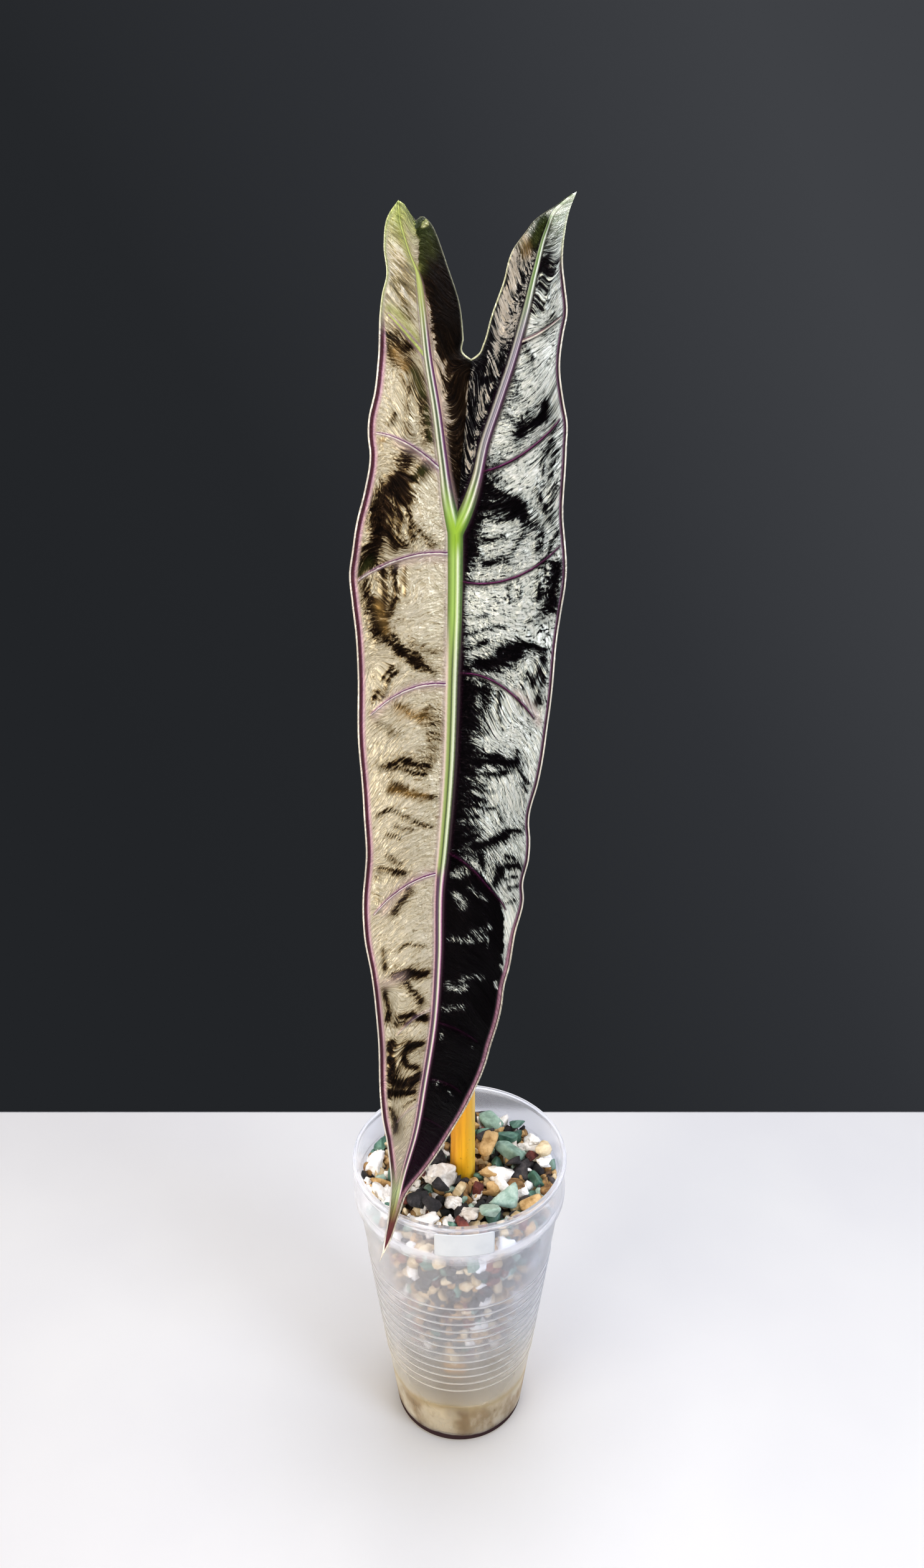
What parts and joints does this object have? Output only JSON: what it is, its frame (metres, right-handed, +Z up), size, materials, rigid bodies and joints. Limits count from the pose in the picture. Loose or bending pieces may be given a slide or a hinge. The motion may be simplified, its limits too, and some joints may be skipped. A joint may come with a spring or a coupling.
{
  "type": "potted alocasia plant",
  "caption": "Potted alocasia: long two-lobed hanging leaf on an upright petiole, in mixed gravel held by an inner cup over water in a ribbed outer cup.",
  "frame": {"origin": "centre of the outer cup's flat base", "axes": "+Z up along the cup's axis; the leaf's upper face looks towards -Y; +X is to the right seen from that side"},
  "size_m": [0.095, 0.0952, 0.5265],
  "materials": {
    "cup": "satin",
    "inner_cup": "satin",
    "label": "satin",
    "water": "gloss",
    "wick": "matte",
    "gravel_bed": "matte",
    "roots": "matte",
    "petiole": "satin",
    "leaf": "gloss",
    "pumice": "matte",
    "zeolite": "matte",
    "jade": "satin",
    "lava": "matte",
    "red_lava": "matte",
    "clay": "matte",
    "pale_clay": "matte"
  },
  "bodies": {
    "root": {"cup": "cup", "inner_cup": "inner_cup", "label": "label", "water": "water", "wick": "wick", "gravel_bed": "gravel_bed", "roots": "roots", "petiole": "petiole", "leaf": "leaf", "stone_01_pumice": "pumice", "stone_02_pumice": "pumice", "stone_03_pumice": "pumice", "stone_04_pumice": "pumice", "stone_05_pumice": "pumice", "stone_06_pumice": "pumice", "stone_07_pumice": "pumice", "stone_08_pumice": "pumice", "stone_09_pale_clay": "pale_clay", "stone_10_zeolite": "zeolite", "stone_11_zeolite": "zeolite", "stone_12_jade": "jade", "stone_13_zeolite": "zeolite", "stone_14_zeolite": "zeolite", "stone_15_jade": "jade", "stone_16_jade": "jade", "stone_17_clay": "clay", "stone_18_clay": "clay", "stone_19_clay": "clay", "stone_20_red_lava": "red_lava", "stone_21_clay": "clay", "stone_22_clay": "clay", "stone_23_jade": "jade", "stone_24_pumice": "pumice", "stone_25_pumice": "pumice", "stone_26_red_lava": "red_lava", "stone_27_pale_clay": "pale_clay", "stone_28_clay": "clay", "stone_29_clay": "clay", "stone_30_pale_clay": "pale_clay", "stone_31_lava": "lava", "stone_32_lava": "lava", "stone_33_lava": "lava", "stone_34_lava": "lava", "stone_35_lava": "lava", "stone_36_lava": "lava", "stone_37_pumice": "pumice", "stone_38_jade": "jade", "stone_39_jade": "jade", "stone_40_clay": "clay", "stone_41_red_lava": "red_lava", "stone_42_clay": "clay", "stone_43_red_lava": "red_lava", "stone_44_jade": "jade", "stone_45_red_lava": "red_lava", "stone_46_lava": "lava", "stone_47_pale_clay": "pale_clay", "stone_48_pumice": "pumice", "stone_49_zeolite": "zeolite", "stone_50_clay": "clay"}
  },
  "joints": []
}
